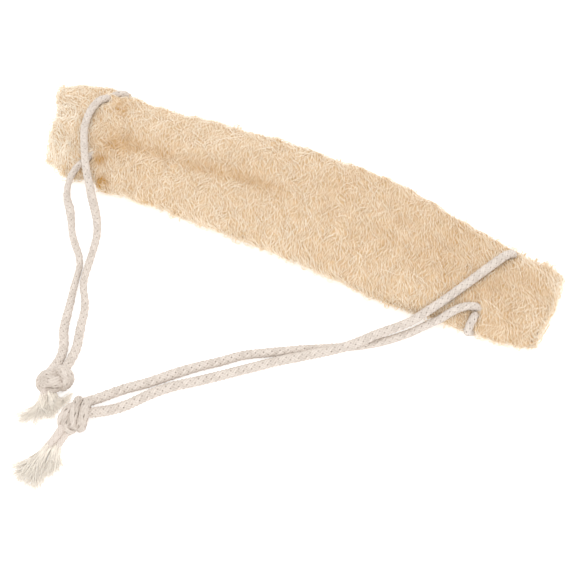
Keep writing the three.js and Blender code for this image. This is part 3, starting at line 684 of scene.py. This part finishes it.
# fibres stand in columns along the sponge, each column cut into short lines round it, the cuts staggered:
# u = column + run x sin lean + bow + shared swirl and curl + own meander, p = start + run x cos lean;
# their height over the skin sways along each fibre
def addFibres(name, layer, seed):
    dice = np.random.default_rng(seed)
    reachLength = spongeLength + 2 * fibres["pastEnds"]
    columns = round(reachLength / layer["spacing"])
    parts = max(1, round(girth / layer["length"]))
    c, k = np.meshgrid(np.arange(columns), np.arange(parts), indexing="ij")
    u = (c + layer["shift"] + dice.normal(0, fibres["jitter"], c.shape)) * reachLength / columns
    u = (u - fibres["pastEnds"]).reshape(-1, 1)
    p = (k + fibres["stagger"] * c + dice.normal(0, fibres["jitter"], c.shape)) * girth / parts % girth
    p = p.reshape(-1, 1)
    below = (p / girth > fibres["underFrom"]) & (p / girth < fibres["underTo"])
    keep = (~below | (dice.uniform(0, 1, u.shape) < layer["underside"]))[:, 0]
    u, p = u[keep], p[keep]
    count, rings = len(u), round(layer["length"] / layer["step"]) + 1
    wild = np.clip(fibres["wild"] - fibres["wildLoss"] * u / spongeLength, *fibres["wildLimits"])
    lean = layer["turned"] + wild * (layer["swing"] * waveField(leanWaves, u, p)
                                     + layer["lean"] * dice.normal(0, 1, (count, 1)))
    run = np.linspace(-fibres["halfRun"], fibres["halfRun"], rings)[None, :] * girth / parts
    bend = layer["bow"] * waveField(bowWaves, u, p) + layer["ownBow"] * dice.normal(0, 1, (count, 1))
    bow = wild * bend * (4 * (run / layer["length"]) ** 2 - fibres["bowCentre"])
    p = p + run * np.cos(lean)
    u = u + run * np.sin(lean) + bow
    shared = layer["swirl"] * waveField(swirlWaves, u, p) + layer["curl"] * waveField(curlWaves, u, p)
    u = u + wild * shared
    pace = 2 * np.pi / dice.uniform(*fibres["meanderLength"], (count, 1))
    meander = layer["meander"] * dice.uniform(*fibres["meanderShare"], (count, 1))
    u = u + meander * np.sin(run * pace + dice.uniform(*anyPhase, (count, 1)))
    past = dice.uniform(0, layer["overhang"], (count, 1))
    over = np.clip(u, -past, spongeLength + past) - np.clip(u, 0, spongeLength)
    line, out = onGrid(skin, u, p), onGrid(skinOut, u, p)
    swayLength = dice.uniform(*fibres["swayLength"], (count, 1))
    sway = np.sin(run * 2 * np.pi / swayLength + dice.uniform(*anyPhase, (count, 1)))
    height = layer["height"] + layer["sway"] * sway + layer["spread"] * dice.normal(0, 1, (count, 1))
    rise = np.where(dice.uniform(0, 1, (count, 1)) < layer["looseShare"], layer["loose"], 0)
    height = height + rise * np.cos(np.pi * run / layer["length"]) ** 2
    squeeze = onGrid(pressed, u, p)
    height = height * (1 - squeeze) - fibres["sink"] * squeeze
    line = line + out * height[..., None]
    line[..., 0] += over
    width = layer["radius"] * dice.uniform(*fibres["widths"], (count, 1)) * np.ones((1, rings))
    width[:, [0, -1]] *= fibres["tipWidth"]
    line[..., 2] = np.maximum(line[..., 2], width + fibres["floorGap"])
    points = tubePoints(line, out, width, layer["sides"])
    # painted shade: fibres lower over the skin get a lower tone
    tone = dice.normal(layer["tone"], layer["toneSpread"], (count, 1)) + fibres["shadeByHeight"] * height
    # painted shade: these spots lower the fibres' tone
    for x, y, reach, depth in shadeSpots:
        tone = tone - depth * spotAt(line, x, y, reach)
    for x, y, reach, gain in paintedLightPlaces:
        paintedLight = gain * (fibres["paintedLightTop"] - layer["tone"])  # painted light, more for the low layers, which evens them
        tone = tone + paintedLight * spotAt(line, x, y, reach)
    # partly painted shade of the fold and partly its own more orange colour: fibres along it get a lower
    # tone
    trough = sponge["trough"]
    fold = np.clip((line[..., 0] - trough["shadeFrom"]) / trough["shadeFade"], 0, 1)
    fold = troughAt(line[..., 0], line[..., 1]) * fold
    tone = tone - trough["darker"] * fold**2
    tone = np.broadcast_to(tone[..., None], points.shape[:3])
    faces = tubeFaces(count, rings, layer["sides"])
    return addMesh(name, points * mm, faces, fibreMaterial, tone, smooth=False)


# painted shade: the nets lying deeper have lower tones
netTop = dict(length=7.2, step=1.44, spacing=1.75, shift=0.25, radius=0.2, sides=3, height=0.45,
              sway=0.15, spread=0.1, looseShare=0.02, loose=0.8, swing=0.28, lean=0.32, turned=0.33,
              bow=0.5, ownBow=0.6, swirl=0.4, curl=0.2, meander=0.2, overhang=3.5, underside=0.1,
              tone=1.0, toneSpread=0.18)
netOver = dict(netTop, shift=0.75, radius=0.18, height=0.05, lean=0.42, ownBow=0.8, meander=0.3,
               tone=0.74)
netMid = dict(length=8.0, step=1.6, spacing=1.75, shift=0.75, radius=0.2, sides=3, height=-0.25,
              sway=0.15, spread=0.15, looseShare=0.0, loose=0.0, swing=0.5, lean=0.25, turned=0.33,
              bow=0.7, ownBow=0.5, swirl=0.4, curl=0.2, meander=0.2, overhang=4.5, underside=0.1,
              tone=0.47, toneSpread=0.22)
netDeep = dict(length=34.0, step=2.4, spacing=4.5, shift=0.5, radius=0.36, sides=3, height=-0.8,
               sway=0.2, spread=0.15, looseShare=0.0, loose=0.0, swing=0.0, lean=0.5, turned=0.5,
               bow=0.0, ownBow=2.5, swirl=1.5, curl=0.6, meander=0.5, overhang=2.0, underside=0.25,
               tone=0.14, toneSpread=0.2)
strays = dict(length=15.0, step=1.5, spacing=30.0, shift=0.5, radius=0.18, sides=3, height=0.4,
              sway=0.3, spread=0.3, looseShare=1.0, loose=2.4, swing=0.0, lean=0.9, turned=0.3,
              bow=0.0, ownBow=3.0, swirl=2.6, curl=0.6, meander=0.9, overhang=5.0, underside=0.2,
              tone=0.8, toneSpread=0.1)
for name, layer, seed in (("loofahNetTop", netTop, 1), ("loofahNetOver", netOver, 7),
                          ("loofahNetMid", netMid, 2), ("loofahNetDeep", netDeep, 3),
                          ("loofahStrays", strays, 4)):
    addFibres(name, layer, seed)

edgeLoops = dict(count=560, span=(0, 1), edges=2, rings=10, sides=3, radius=0.24, size=(0.9, 2.5),
                 band=0.035, arc=(-0.3, 1.3), standOff=0.6, sink=0.9, floorGap=0.4, widths=(0.7, 1.2),
                 tone=0.2, toneSpread=0.3)
cornerLoops = dict(edgeLoops, count=64, span=(0.895, 0.985), edges=1, radius=0.2, size=(1.6, 3.4),
                   band=0.02)


# small arcs standing out of the long edges: skin + size x (cos x across + (sin + stand-off) x out)
def addEdgeLoops(name, loops, seed):
    dice = np.random.default_rng(seed)
    count, rings = loops["count"], loops["rings"]
    u = dice.uniform(*loops["span"], count) * spongeLength
    p = (dice.integers(0, loops["edges"], count) / 2 + dice.normal(0, loops["band"], count)) * girth
    base, out = onGrid(skin, u, p), onGrid(skinOut, u, p)
    base = base - loops["sink"] * onGrid(pressed, u, p)[:, None] * out
    across = unit(np.cross(out, dice.normal(0, 1, (count, 3))))
    size = dice.uniform(*loops["size"], (count, 1, 1))
    angle = np.linspace(*loops["arc"], rings)[None, :, None] * np.pi
    outward = np.sin(angle) + loops["standOff"]
    line = base[:, None] + size * (np.cos(angle) * across[:, None] + outward * out[:, None])
    line[..., 2] = np.maximum(line[..., 2], loops["floorGap"])
    width = loops["radius"] * dice.uniform(*loops["widths"], (count, 1)) * np.ones((1, rings))
    normals = np.broadcast_to(np.cross(across, out)[:, None], line.shape)
    points = tubePoints(line, normals, width, loops["sides"])
    tone = dice.normal(loops["tone"], loops["toneSpread"], (count, 1, 1))
    tone = np.broadcast_to(tone, points.shape[:3])
    faces = tubeFaces(count, rings, loops["sides"])
    return addMesh(name, points * mm, faces, fibreMaterial, tone, smooth=False)


for name, loops, seed in (("loofahEdgeLoops", edgeLoops, 8), ("loofahCornerLoops", cornerLoops, 9)):
    addEdgeLoops(name, loops, seed)

endCurls = dict(count=260, rings=12, sides=3, radius=0.38, inset=0.4, depth=4.5, size=(1.5, 5.0),
                sweep=(2.0, 5.0), inward=(0.03, 0.5), drift=1.0, flatness=0.5, floorGap=0.55, topGap=0.05,
                leastRoom=1.0, widths=(0.6, 1.2), facing=(1.0, 0.2, 0.1), tone=0.55, toneSpread=0.2)


# arcs in the cut face: middle + size x (cos, sin), drifting in along x, kept inside the end section
def addEndCurls(name, atEnd, seed):
    dice = np.random.default_rng(seed)
    count, rings = endCurls["count"], endCurls["rings"]
    column = dice.uniform(0, sponge["around"], count)
    p = column / sponge["around"] * girth
    rim = onGrid(skin, np.full(count, spongeLength * atEnd), p)
    other = onGrid(skin, np.full(count, spongeLength * atEnd), girth - p)
    mix = dice.uniform(*endCurls["inward"], count)[:, None]
    middle = rim * (1 - mix) + other * mix
    middle[:, 0] += (1 - 2 * atEnd) * dice.uniform(endCurls["inset"], endCurls["depth"], count)
    size = dice.uniform(*endCurls["size"], (count, 1))
    sweep = dice.uniform(*endCurls["sweep"], (count, 1))
    angle = dice.uniform(*anyPhase, (count, 1)) + np.linspace(0, 1, rings) * sweep
    line = np.repeat(middle[:, None], rings, axis=1)
    line[..., 0] += dice.normal(0, endCurls["drift"], (count, 1)) * np.linspace(-1, 1, rings)
    line[..., 1] += size * np.cos(angle)
    line[..., 2] += endCurls["flatness"] * size * np.sin(angle)
    low = np.minimum(rim, other)[:, None, 2]
    high = np.maximum(np.maximum(rim, other)[:, None, 2], low + endCurls["leastRoom"])
    lowest = np.maximum(low, 0) + endCurls["floorGap"]
    line[..., 2] = np.clip(line[..., 2], lowest, high + endCurls["topGap"])
    line[..., 2] = np.maximum(line[..., 2], endCurls["floorGap"])
    width = endCurls["radius"] * dice.uniform(*endCurls["widths"], (count, 1)) * np.ones((1, rings))
    normals = np.broadcast_to(endCurls["facing"], line.shape)
    points = tubePoints(line, normals, width, endCurls["sides"])
    tone = dice.normal(endCurls["tone"], endCurls["toneSpread"], (count, 1, 1))
    tone = np.broadcast_to(tone, points.shape[:3])
    faces = tubeFaces(count, rings, endCurls["sides"])
    return addMesh(name, points * mm, faces, fibreMaterial, tone, smooth=False)


for name, atEnd, seed in (("loofahLeftEnd", 0, 5), ("loofahRightEnd", 1, 6)):
    addEndCurls(name, atEnd, seed)
print("loofah built")

# floor and light

studio = dict(floorHalf=3.0, floorColour=(0.93, 0.93, 0.93, 1), floorGlow=0.4, worldStrength=1.05,
              keyPlace=(0.1, -0.4, 1.8), keySize=1.6, keyPower=11.0)


# a flat square of white paper that glows a little, which keeps shadows faint
def addFloor():
    half = studio["floorHalf"]
    mesh = bpy.data.meshes.new("floor")
    corners = [(-half, -half, 0), (half, -half, 0), (half, half, 0), (-half, half, 0)]
    mesh.from_pydata(corners, [], [(0, 1, 2, 3)])
    paper = bpy.data.materials.new("floorPaper")
    paper.use_nodes = True
    shader = paper.node_tree.nodes["Principled BSDF"]
    shader.inputs["Base Color"].default_value = studio["floorColour"]
    shader.inputs["Roughness"].default_value = 1.0
    shader.inputs["Specular IOR Level"].default_value = 0.0
    shader.inputs["Emission Color"].default_value = (1, 1, 1, 1)
    shader.inputs["Emission Strength"].default_value = studio["floorGlow"]
    mesh.materials.append(paper)
    floor = bpy.data.objects.new("floor", mesh)
    bpy.context.collection.objects.link(floor)


# white all round, and one big soft lamp turned to the sponge
def addLight():
    world = bpy.data.worlds.new("studioWhite")
    world.use_nodes = True
    world.node_tree.nodes["Background"].inputs["Color"].default_value = (1, 1, 1, 1)
    world.node_tree.nodes["Background"].inputs["Strength"].default_value = studio["worldStrength"]
    bpy.context.scene.world = world
    data = bpy.data.lights.new("keyLamp", "AREA")
    data.size = studio["keySize"]
    data.energy = studio["keyPower"]
    lamp = bpy.data.objects.new("keyLamp", data)
    place = np.array(studio["keyPlace"])
    lamp.location = place
    lamp.rotation_euler = (math.atan2(np.hypot(place[0], place[1]), place[2]), 0,
                           math.atan2(place[0], -place[1]))
    bpy.context.collection.objects.link(lamp)


addFloor()
addLight()
bpy.context.scene.view_settings.view_transform = "Standard"
print("studio ready")
